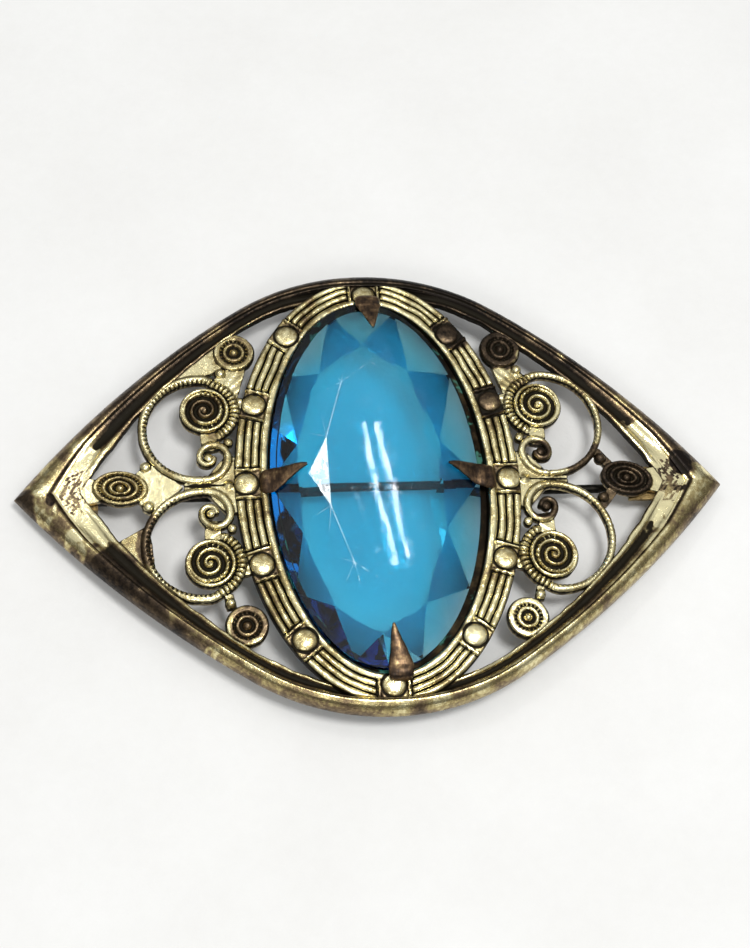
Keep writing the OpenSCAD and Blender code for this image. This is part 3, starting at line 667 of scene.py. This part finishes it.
def scroll_panel(name, node, flip, rope_w, fill, colours, seed):
    """One quarter's panel. fill says which flat webs it has, colours its brown places."""
    stations = [0, rope_end, sweep_start + 1, sweep_end, sweep_end + 3.5, path_run[-1]]
    width = np.interp(along_path, stations, [0.42, 0.42, rope_w, rope_w * 0.9, 0.36, 0.26])
    wire = -0.34 + 0.36 * np.sqrt(np.clip(1 - (nearest / width) ** 2, 0, 1))
    tooth = 0.5 + 0.5 * np.cos(2 * math.pi * along_path / 0.44)
    on_rope = smooth(rope_end + 1.2, rope_end + 0.3, along_path)
    inner = smooth(0.0, -0.16, beside) * smooth(sweep_end - 1, sweep_end - 3, along_path)
    inner_share = 0.85 if flip[0] < 0 else 0.3
    wire -= 0.24 * smooth(0.45, 0.9, tooth) * np.maximum(on_rope, inner * inner_share)
    # The volute: a spiral ridge of three laps, a ring of notches and a ball in the middle
    rho = np.hypot(qx - VOLUTE[0], qy - VOLUTE[1])
    phi = np.arctan2(qy - VOLUTE[1], qx - VOLUTE[0])
    pitch, first_turn = 0.70, 1.98
    u = (first_turn - rho) / pitch - ((phi + math.pi / 2) % (2 * math.pi)) / (2 * math.pi)
    lap = np.clip(np.round(u), 0, 2)
    off = np.abs(u - lap) * pitch
    off = np.minimum(off, np.abs(rho - 2.02))
    volute = np.where(rho < VOLUTE_R + 0.02, -0.46 + 0.48 * smooth(0.27, 0.06, off), -9)
    notch = smooth(0.1, 0.8, np.cos(phi * 22)) * smooth(0.2, 0.1, np.abs(rho - 1.66))
    volute = volute + 0.20 * notch * (np.cos(phi) < 0.25) * (rho < VOLUTE_R)
    volute = np.maximum(volute, quarter_sheet.ball(VOLUTE, 0.34, -0.5, 0.0))
    # The rosette: two rings, milling between them and a ball in the middle
    ros = np.hypot(qx - ROSETTE[0], qy - ROSETTE[1])
    spin = np.arctan2(qy - ROSETTE[1], qx - ROSETTE[0])
    rosette = np.where(ros < ROSETTE_R, -0.42, -9.0)
    rosette += np.where(ros < ROSETTE_R, 0.36 * smooth(0.22, 0.1, np.abs(ros - 0.82)), 0)
    rosette += np.where(ros < ROSETTE_R, 0.36 * smooth(0.32, 0.2, np.abs(ros - 1.52)), 0)
    rosette += 0.20 * smooth(0, 0.7, np.cos(spin * 20)) * smooth(0.16, 0.07, np.abs(ros - 1.16))
    rosette = np.maximum(rosette, quarter_sheet.ball(ROSETTE, 0.42, -0.45, 0.06))
    balls = [quarter_sheet.ball(c, r, -0.4, h) for c, r, h in SCROLL_BALLS]
    top = np.maximum.reduce([wire, volute, rosette, *balls, np.full(qx.shape, WEB)])
    top = np.maximum(top, WEB + 0.36 * np.clip(1 - np.hypot(qx - CONE_X, qy) / 0.55, 0, 1))
    top += (quarter_sheet.mottle(0.7, seed) - 0.5) * 0.05
    top -= 0.5 * smooth(0.02, 0.34, in_rim) + 0.5 * smooth(-0.02, -0.3, band_gap)
    # The outline: everything above, with the webs, tucked a little under the rim and the band
    rounds = ((VOLUTE, VOLUTE_R), (ROSETTE, ROSETTE_R), ((CONE_X, 0), 0.5))
    rounds += tuple((c, r) for c, r, _ in SCROLL_BALLS)
    body = np.minimum.reduce([nearest - width] + [quarter_sheet.disc(c, r) for c, r in rounds]
                             + [quarter_sheet.area(corners) for corners in fill])
    body += (quarter_sheet.mottle(0.8, seed + 3, flip) - 0.5) * 0.10
    edge = np.maximum.reduce([body, in_rim - 0.42, -band_gap - 0.35, 0.001 - (qy - qy.min())])
    # Painted shade: grooves, the deep parts of the curls, the cut edges and the places tucked under the
    # rim and the band are darkened through the dirt mark, and grooves are also given more tarnish
    groove = np.clip((soften(top, 10) - top) / 0.13, 0, 1)
    wall = smooth(-0.16, 0.0, body)
    in_curl = smooth(VOLUTE_R - 0.05, VOLUTE_R - 0.25, rho) + smooth(ROSETTE_R, ROSETTE_R - 0.2, ros)
    deep = smooth(-0.18, -0.34, top) * in_curl
    hollow = np.clip(groove * 0.9 + deep * 0.8 + wall * 0.6 + smooth(-0.25, 0.1, in_rim) * 0.5
                     + smooth(0.3, -0.1, band_gap) * 0.7, 0, 1)
    tarnish = 0.05 + 0.42 * quarter_sheet.mottle(1.8, seed + 7, flip) + 0.2 * groove
    for at, half, amount in colours:
        browned = patch(qx, qy, at, half, seed + 11)
        brown = amount + 0.15 * (quarter_sheet.mottle(0.9, seed) - 0.5)
        tarnish = tarnish * (1 - browned) + brown * browned
    points, faces = quarter_sheet.cut(edge, top, [tarnish, hollow], flip)
    panel = piece(name, points[:, :3], faces, gilding,
                  {"tarnish": points[:, 3], "hollow": points[:, 4]}, sharp=60)
    on_front(panel, "gilt_front", node)


# Flat webs, by their corners in the upper right quarter
TO_RIM = [(12.6, 13.9), (14.1, 15.1), (11.4, 16.4)]
SCROLL_TO_RIM = [(18.7, 9.0), (18.1, 10.9), (20.9, 9.0)]
HOOK_TIE = [(14.2, 5.4), (15.6, 5.4), (15.5, 3.2), (14.0, 3.4)]
MIDDLE_TIE = [(12.2, 0.0), (12.3, 2.6), (13.4, 2.9), (15.2, 0.8), (17.2, 0.35), (17.2, 0.0)]
BAND_WEB = [(12.5, 12.2), (14.4, 10.3), (13.6, 8.6), (12.2, 8.2), (11.2, 11.6)]
VOLUTE_SIDE = [(11.6, 8.4), (13.0, 8.8), (13.2, 6.2), (11.9, 5.9)]
CORNER_WEB = [(13.45, 14.3), (13.05, 11.55), (16.7, 10.1), (19.8, 10.6)]
BRIDGE = [(13.0, 11.5), (13.9, 11.5), (14.1, 10.1), (13.3, 10.1)]
LEFT_LEAF = [(20.3, 3.4), (23.2, 5.0), (22.2, 7.3), (20.4, 9.2), (19.8, 8.4)]

scroll_panel("scrolls_upper_right", "scroll_upper_right", (1, 1), 0.33,
             [TO_RIM, SCROLL_TO_RIM, HOOK_TIE, MIDDLE_TIE, BAND_WEB, VOLUTE_SIDE],
             [(ROSETTE, (2.1, 2.1), 0.80), ((15.0, 2.7), (1.0, 1.0), 0.78),
              ((19.6, 1.8), (2.6, 2.0), 0.72), ((19.4, 9.2), (2.2, 2.0), 0.5)], 300)
scroll_panel("scrolls_upper_left", "scroll_upper_left", (-1, 1), 0.42,
             [TO_RIM, SCROLL_TO_RIM, HOOK_TIE, MIDDLE_TIE, BAND_WEB, VOLUTE_SIDE, CORNER_WEB],
             [(ROSETTE, (1.9, 1.9), 0.46), (VOLUTE, (1.6, 1.6), 0.60)], 330)
scroll_panel("scrolls_lower_right", "scroll_lower_right", (1, -1), 0.36,
             [TO_RIM, SCROLL_TO_RIM, HOOK_TIE, MIDDLE_TIE, BRIDGE, VOLUTE_SIDE],
             [((14.9, 2.8), (1.3, 1.3), 0.74), ((13.0, 7.0), (1.4, 2.6), 0.34)], 360)
scroll_panel("scrolls_lower_left", "scroll_lower_left", (-1, -1), 0.40,
             [TO_RIM, SCROLL_TO_RIM, HOOK_TIE, MIDDLE_TIE, BRIDGE, VOLUTE_SIDE, LEFT_LEAF],
             [(ROSETTE, (2.1, 2.1), 0.62), ((20.6, 5.2), (0.9, 3.0), 0.66)], 390)

# ---- Side rosettes ----
# A small oval rosette with rings of milling stands in each point of the frame, tied to the
# large scrolls by two balls. The left one has a flat web to the scrolls, the right one legs.

SIDE, SIDE_HALF, SIDE_TILT = (22.75, 0.15), (2.42, 1.62), -8
SIDE_BALLS = (((20.5, 2.05), 0.50), ((20.35, -1.75), 0.50))
# Rings: share of the way out, half width and height
SIDE_RINGS = ((0.90, 0.13, 0.36), (0.60, 0.11, 0.38), (0.34, 0.10, 0.40))
side_sheet = Sheet((16.6, 27.4), (-4.2, 4.2), 0.075)
lower_edge = opening[::-1] * (1, -1)
rim_gap = side_sheet.area(np.vstack([opening, lower_edge[1:], -opening[1:], -lower_edge[1:-1]]))
scroll_gap = np.minimum(side_sheet.disc(SCROLL, SCROLL_R + 0.2),
                        side_sheet.disc((SCROLL[0], -SCROLL[1]), SCROLL_R + 0.2))


def side_rosette(name, node, side, leaf, tarnish_level, seed):
    """The rosette in one point: side is -1 for the left, leaf its flat areas."""
    tilt = math.radians(SIDE_TILT * side)
    dx, dy = side_sheet.x - SIDE[0], side_sheet.y - SIDE[1]
    ux = dx * math.cos(tilt) + dy * math.sin(tilt)
    uy = -dx * math.sin(tilt) + dy * math.cos(tilt)
    ring_share = np.hypot(ux / SIDE_HALF[0], uy / SIDE_HALF[1])
    spin = np.arctan2(uy / SIDE_HALF[1], ux / SIDE_HALF[0])
    body = (ring_share - 1) * 1.9
    on_it = ring_share < 1.02
    rings = sum(smooth(w, w * 0.4, np.abs(ring_share - r)) * h for r, w, h in SIDE_RINGS)
    mill = 0.10 * smooth(0, 0.8, np.cos(spin * 30)) * smooth(0.12, 0.05, np.abs(ring_share - 0.76))
    top = np.where(on_it, -0.44 + np.minimum(rings, 0.42) + mill, WEB)
    top = np.maximum(top, np.where(on_it, side_sheet.ball(SIDE, 0.42, -0.5, 0.02), -9))
    for c, r in SIDE_BALLS:
        body = np.minimum(body, side_sheet.disc(c, r))
        top = np.maximum(top, side_sheet.ball(c, r, -0.42, 0.06))
    for corners in leaf:
        body = np.minimum(body, side_sheet.area(corners))
    top += (side_sheet.mottle(0.7, seed) - 0.5) * 0.06
    body += (side_sheet.mottle(0.8, seed + 3) - 0.5) * 0.10
    edge = np.maximum.reduce([body, rim_gap - 0.42, -scroll_gap])
    top -= 0.5 * smooth(0.05, 0.4, rim_gap)
    # Painted shade: the grooves and the cut edges are darkened through the dirt mark
    groove = np.clip((soften(top, 8) - top) / 0.12, 0, 1)
    hollow = np.clip(groove * 0.9 + smooth(-0.14, 0.0, body) * 0.55, 0, 1)
    on_rosette = smooth(1.1, 0.95, ring_share)
    off_it = 0.06 + 0.18 * side_sheet.mottle(1.4, seed + 7)
    tarnish = off_it * (1 - on_rosette) + on_rosette * tarnish_level
    if side > 0:
        tarnish = np.maximum(tarnish, 0.72 * smooth(23.5, 22.0, side_sheet.x))
    points, faces = side_sheet.cut(edge, top, [tarnish, hollow], (side, 1))
    rosette = piece(name, points[:, :3], faces, gilding,
                    {"tarnish": points[:, 3], "hollow": points[:, 4]}, sharp=60)
    on_front(rosette, "gilt_front", node)


TO_POINT = [(24.2, 1.0), (26.6, 1.5), (26.6, -1.3), (24.2, -0.9)]
UPPER_LEG = [(19.4, 3.2), (20.5, 3.0), (21.9, 1.3), (21.0, 0.9)]
LOWER_LEG = [(19.6, -2.9), (20.4, -2.9), (21.9, -1.1), (21.0, -0.7)]
FULL_LEAF = [(17.3, 0.0), (19.2, 1.7), (20.2, 2.5), (21.6, 1.3), (21.4, -1.0), (20.3, -2.4),
             (19.2, -1.6)]
side_rosette("side_rosette_right", "side_rosette_right", 1, [TO_POINT, UPPER_LEG, LOWER_LEG],
             0.82, 420)
side_rosette("side_rosette_left", "side_rosette_left", -1, [TO_POINT, FULL_LEAF], 0.42, 440)

# ---- Stone ----
# An oval of clear blue glass, pressed and polished with a flat table, ten star facets and
# ten kites above its edge and ten long facets behind. It is open at the back.

STONE_AT = -0.32
TABLE, STAR, EDGE, CULET = (4.6, 10.6), (6.1, 13.0), (9.3, 17.5), (6.1, 13.4)
TABLE_Z, STAR_Z, EDGE_TOP, EDGE_LOW, CULET_Z = 6.655, 6.22, 4.455, 3.905, 2.32
CULET_OFF = (0.3, 0.3, 0)
FACETS, FINE = 10, 12
WORN_W = 0.09
SCUFFED = {1: 0.22, 2: 0.62}


def on_oval(half, degrees, z):
    a = math.radians(degrees)
    return (STONE_AT + half[0] * math.cos(a), half[1] * math.sin(a), z)


points = [on_oval(TABLE, 90 + 36 * k, TABLE_Z) for k in range(FACETS)]
points += [on_oval(STAR, 108 + 36 * k, STAR_Z) for k in range(FACETS)]
girdle = FACETS * FINE
points += [on_oval(EDGE, 90 + 360 * k / girdle, EDGE_TOP) for k in range(girdle)]
points += [on_oval(EDGE, 90 + 360 * k / girdle, EDGE_LOW) for k in range(girdle)]
# The flat at the back was ground a little off centre
points += [tuple(np.array(on_oval(CULET, 90 + 36 * k, CULET_Z)) - CULET_OFF) for k in range(FACETS)]
# Where the points of the star, the upper and lower edge and the back begin
STARS, UPPER, LOWER, BACK = FACETS, 2 * FACETS, 2 * FACETS + girdle, 2 * FACETS + 2 * girdle
# How worn each corner of the table and of the star facets is: most on the left
wear = [0.75, 0.85, 1.0, 1.0, 0.9, 0.6, 0.45, 0.15, 0.15, 0.5]
wear += [0.3, 0.42, 0.48, 0.42, 0.35, 0.2, 0.1, 0.1, 0.1, 0.2] + [0.0] * (2 * girdle + FACETS)
facets, group = [], []


def facet(corners, name):
    facets.append(corners)
    group.append(name)


def edged_facet(corners, name, scuffed):
    """A facet with a narrow border along its edges, where the polish is worn."""
    ring = [np.array(points[k]) for k in corners]
    first = len(points)
    for k, corner in enumerate(ring):
        to_next = ring[(k + 1) % len(ring)] - corner
        to_last = ring[k - 1] - corner
        to_next, to_last = to_next / np.linalg.norm(to_next), to_last / np.linalg.norm(to_last)
        spread = np.linalg.norm(np.cross(to_next, to_last))
        points.append(tuple(corner + (to_next + to_last) * WORN_W / spread))
        wear.append(scuffed)
    inner = [first + k for k in range(len(ring))]
    facet(inner, name)
    for k in range(len(ring)):
        n = (k + 1) % len(ring)
        facet([corners[k], corners[n], inner[n], inner[k]], name)


edged_facet(list(range(FACETS)), "table", 0.0)
facet([BACK + k for k in range(FACETS)][::-1], "culet")
for k in range(FACETS):
    nxt, before = (k + 1) % FACETS, (k - 1) % FACETS
    edged_facet([k, STARS + k, nxt], ("star", k), SCUFFED.get(k, 0.0))
    edged_facet([k, STARS + before, UPPER + k * FINE], ("kite", k, 0), 0.0)
    edged_facet([k, UPPER + k * FINE, STARS + k], ("kite", k, 1), 0.0)
    facet([BACK + nxt, BACK + k, LOWER + k * FINE + FINE // 2], ("long", k))
    for j in range(FINE):
        e = k * FINE + j
        n = (e + 1) % girdle
        facet([STARS + k, UPPER + e, UPPER + n], ("upper", k, j * 2 // FINE))
        facet([UPPER + e, LOWER + e, LOWER + n, UPPER + n], "edge")
        foot = BACK + (k if j < FINE // 2 else nxt)
        facet([foot, LOWER + n, LOWER + e], ("lower", k, j * 2 // FINE))

f = Finish("blue_glass")
scratches, grit = f.noise(0.5, 5, (1, 0.25, 1)), f.noise(0.16, 3)
waves = f.noise(6.0, 1)
scuff = f.noise(0.9, 5).between(0.54, 0.64)
rubbed = (f.mark("worn") + (scratches - 0.5) * 1.1 + (grit - 0.5) * 0.7).between(0.62, 0.80)
glass = f.surface({
    "Base Color": (0.90, 0.98, 1.0, 1), "Roughness": scuff * 0.10 + 0.012 + rubbed * 0.35, "IOR": 1.52,
    "Metallic": rubbed * 0.55, "Transmission Weight": 1.0,
    "Normal": f.bump(waves * 0.8 + scratches * 0.05, 0.08, 0.12)},
    f.node("ShaderNodeVolumeAbsorption", sockets={"Color": (0.0, 0.835, 0.982, 1), "Density": 380}))
stone = piece("glass_stone", points, facets, glass, {"worn": wear})
# Edges are crisp only between different facets
between = {}
for polygon in stone.data.polygons:
    for key in polygon.edge_keys:
        between.setdefault(key, []).append(group[polygon.index])
crisp = [len(set(between[edge.key])) > 1 for edge in stone.data.edges]
stone.data.attributes["sharp_edge"].data.foreach_set("value", crisp)
on_front(stone, "blue_glass", "glass_stone")

# ---- Claws ----
# Four claws cut from brown copper strip. Each comes up between the band and the stone beside
# a stud, bends over the stone's edge and tapers to a point pressed down on the facets.

CLAW_T = 0.32
LEGS_AT = (9.73, 17.68)
CLAW_ROWS, CLAW_SIDES = 46, 18
f = Finish("brown_copper")
rub, streak = f.noise(0.8, 4), f.noise(0.25, 3, (1, 0.3, 1))
shade = rub * 0.7 + streak * 0.3
copper = f.surface({
    "Base Color": f.ramp(shade, [(0.34, (0.022, 0.016, 0.013)), (0.48, (0.075, 0.047, 0.028)),
                                 (0.58, (0.17, 0.105, 0.055)), (0.70, (0.46, 0.34, 0.16))]),
    "Metallic": 0.85, "Roughness": rub * 0.25 + 0.22,
    "Normal": f.bump(rub * 0.6 + streak * 0.4, 0.04, 0.9)})
side_slope = (STAR_Z - EDGE_TOP) / (EDGE[0] - STAR[0])
end_slope = (TABLE_Z - EDGE_TOP) / (EDGE[1] - TABLE[1])
# Turn, distance from the leg to the stone's edge, slope of the facets, reach over the
# stone, sideways place of the leg and of the tip, and width of the leg
CLAWS = (("claw_top", 90, 0.2, end_slope, 2.9, -0.2, -0.4, 2.3),
         ("claw_bottom", 270, 0.2, end_slope, 3.6, 0.6, 0.1, 2.2),
         ("claw_right", 0, 0.75, side_slope, 2.9, 0.0, 0.75, 2.2),
         ("claw_left", 180, 0.13, side_slope, 3.1, 0.0, -0.85, 2.3))
for name, turn, gap, slope, reach, leg_off, tip_off, leg_w in CLAWS:
    a = math.radians(turn)
    ox, oy = LEGS_AT[0] * math.cos(a), LEGS_AT[1] * math.sin(a)
    # Distance inwards, height of the middle of the strip, share of the leg's width
    over = EDGE_TOP + 0.06 + CLAW_T / 2
    spine = np.array([
        (-0.62, 3.55, 0.80), (-0.62, 3.95, 0.86), (-0.58, 4.30, 0.92), (-0.36, 4.58, 0.98),
        (0.05, over - 0.02, 1.0), (0.42, over + 0.14 + slope * 0.1, 1.0),
        (gap + 0.45, over + slope * 0.5, 0.93),
        (gap + reach * 0.38, over + 0.06 + slope * reach * 0.40, 0.70),
        (gap + reach * 0.65, over + 0.05 + slope * reach * 0.66, 0.44),
        (gap + reach * 0.87, over + 0.02 + slope * reach * 0.87, 0.24),
        (gap + reach, over + slope * reach - 0.02, 0.10)])
    dense = np.linspace(0, len(spine) - 1, CLAW_ROWS)
    line = np.stack([np.interp(dense, np.arange(len(spine)), spine[:, k]) for k in range(3)], -1)
    for _ in range(5):
        line[1:-1] = (line[:-2] + 2 * line[1:-1] + line[2:]) / 4
    way = np.gradient(line[:, :2], axis=0)
    way /= np.hypot(*way.T)[:, None]
    drift = smooth(-0.2, gap + reach, line[:, 0])
    sideways = leg_off + (tip_off - leg_off) * drift ** 1.3
    ring = []
    for k in range(CLAW_SIDES):
        b = 2 * math.pi * k / CLAW_SIDES
        w = np.sign(math.cos(b)) * abs(math.cos(b)) ** 0.6
        h = np.sign(math.sin(b)) * abs(math.sin(b)) ** 0.75
        half_w = leg_w * line[:, 2] / 2
        crown = 0.12 * (1 - w * w) * (h > 0) * np.minimum(1, line[:, 2] + 0.2)
        lift = h * CLAW_T / 2 * np.minimum(1, line[:, 2] * 2.2 + 0.25) + crown
        d = line[:, 0] - way[:, 1] * lift
        z = line[:, 1] + way[:, 0] * lift
        e = sideways + w * half_w
        ring.append(np.stack([ox - d * math.cos(a) - e * math.sin(a),
                              oy - d * math.sin(a) + e * math.cos(a), z], -1))
    claw_points = np.stack(ring, 1).reshape(-1, 3)
    claw_faces = [q[::-1] for q in stacked_faces(CLAW_ROWS, CLAW_SIDES).tolist()]
    claw_faces.append(list(range(CLAW_SIDES)))
    claw_faces.append([(CLAW_ROWS - 1) * CLAW_SIDES + k for k in range(CLAW_SIDES)][::-1])
    claw = piece(name + "_strip", claw_points, claw_faces, copper, sharp=55)
    on_front(claw, "brown_claw", name)

# ---- Seat, hinge and catch ----
# Behind the front, the stone lies in a brass collar. A folded brass hinge with a rivet and a
# C catch are soldered to the back of the rim. Dull brass, with verdigris near the stone.

VERDIGRIS = (0.03, 0.16, 0.11, 1)


def back_metal(name, colours, rough, green):
    """Dull metal of the back, mottled, with verdigris where green is above 0."""
    f = Finish(name)
    spots, grain = f.noise(1.8, 4), f.noise(0.25, 3)
    colour = f.ramp(spots * 0.75 + grain * 0.25, [(0.32, colours[0]), (0.5, colours[1]),
                                                  (0.66, colours[2])])
    crust = f.noise(2.6, 4).between(0.68 - green, 0.74 - green)
    if green:
        colour = f.mix(crust, colour, VERDIGRIS)
    return f.surface({"Base Color": colour, "Metallic": 1 - crust * (0.8 if green else 0.1),
                      "Roughness": grain * 0.25 + rough, "Normal": f.bump(grain, 0.03, 0.8)})


# The stone's seat is painted near black, as shade in the gap under the stone
SEAT_SHADE_TONES = ((0.005, 0.004, 0.003), (0.015, 0.011, 0.007), (0.06, 0.042, 0.020))
HINGE_TONES = ((0.09, 0.06, 0.025), (0.34, 0.24, 0.10), (0.60, 0.46, 0.20))
# The pin, its eye and the rivet are tarnished steel painted near black, so the pin under the stone
# reads together with its shadow
PIN_SHADE_TONES = ((0.006, 0.006, 0.005), (0.016, 0.015, 0.012), (0.055, 0.050, 0.040))
shaded_seat_brass = back_metal("shaded_seat_brass", SEAT_SHADE_TONES, 0.45, 0.10)
hinge_brass = back_metal("hinge_brass", HINGE_TONES, 0.24, 0)
shaded_pin_steel = back_metal("pin_metal", PIN_SHADE_TONES, 0.36, 0)
BACK_PARTS = {"stone_seat": shaded_seat_brass, "hinge_plate": hinge_brass, "hinge_bracket": hinge_brass,
              "catch_plate": hinge_brass, "c_catch": hinge_brass, "hinge_rivet": shaded_pin_steel,
              "pin_eye": shaded_pin_steel, "pin_stem": shaded_pin_steel}
for node_name, finish in BACK_PARTS.items():
    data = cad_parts[node_name].data
    data.materials.clear()
    data.materials.append(finish)

# ---- Paper and light ----
# A sheet of matt white paper in a bright room, lit by a large soft lamp overhead. Two thin
# tubes beyond the brooch draw the bright lines on the stone's table.

f = Finish("white_paper")
fibre, stain = f.noise(1.2, 5), f.noise(22, 3)
paper = f.surface({
    "Base Color": f.ramp(fibre * 0.25 + stain * 0.75, [(0.25, (0.76, 0.755, 0.73)),
                                                       (0.7, (0.83, 0.83, 0.81))]),
    "Roughness": 0.92, "Normal": f.bump(fibre, 0.10, 0.5)})
HALF_SHEET = 700
floor_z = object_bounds()[0].z / MM
corners = [(x * HALF_SHEET, y * HALF_SHEET, floor_z) for x, y in ((-1, -1), (1, -1), (1, 1), (-1, 1))]
floor = piece("paper", corners, [(0, 1, 2, 3)], paper)

# The room: a bright ceiling that falls away to dim walls
WALLS_GLOW, CEILING_GLOW = 0.12, 0.78
world = bpy.data.worlds.new("room")
f = Finish("room", world)
way_up = f.node("ShaderNodeSeparateXYZ", sockets={
    "Vector": f.node("ShaderNodeTexCoord", out="Generated")}, out="Z")
glow = f.node("ShaderNodeMapRange", {"interpolation_type": "SMOOTHSTEP"}, {
    "Value": way_up, "From Min": 0.15, "From Max": 0.95, "To Min": WALLS_GLOW, "To Max": CEILING_GLOW})
f.node("ShaderNodeOutputWorld", sockets={"Surface": f.node("ShaderNodeBackground", sockets={
    "Color": (0.98, 0.985, 1.0, 1), "Strength": glow})})
bpy.context.scene.world = world


def lamp(name, at, size, power, down=None):
    """A rectangular lamp, in millimetres and watts. It faces the brooch, or, where down is
    given, straight down and turned that many degrees."""
    data = bpy.data.lights.new(name, "AREA")
    data.shape = "RECTANGLE"
    data.size, data.size_y = size[0] * MM, size[1] * MM
    data.energy = power
    made = bpy.data.objects.new(name, data)
    made.location = Vector(at) * MM
    made.rotation_mode = "QUATERNION"
    if down is None:
        made.rotation_quaternion = (Vector((0, 0, 4)) - Vector(at)).to_track_quat("-Z", "Y")
    else:
        made.rotation_quaternion = Quaternion((0, 0, 1), math.radians(down))
    bpy.context.scene.collection.objects.link(made)


lamp("ceiling_panel", (63, -38, 416), (110, 110), 0.92)
lamp("front_window", (-90, -330, 330), (200, 120), 0.30)
lamp("side_window", (-175, 206, 438), (56, 56), 0.14)
lamp("tube_near", (58.7, 166.6, 406.6), (0.9, 48), 0.0040, 7)
lamp("tube_far", (62.8, 167.1, 406.6), (0.9, 46), 0.0038, 7)
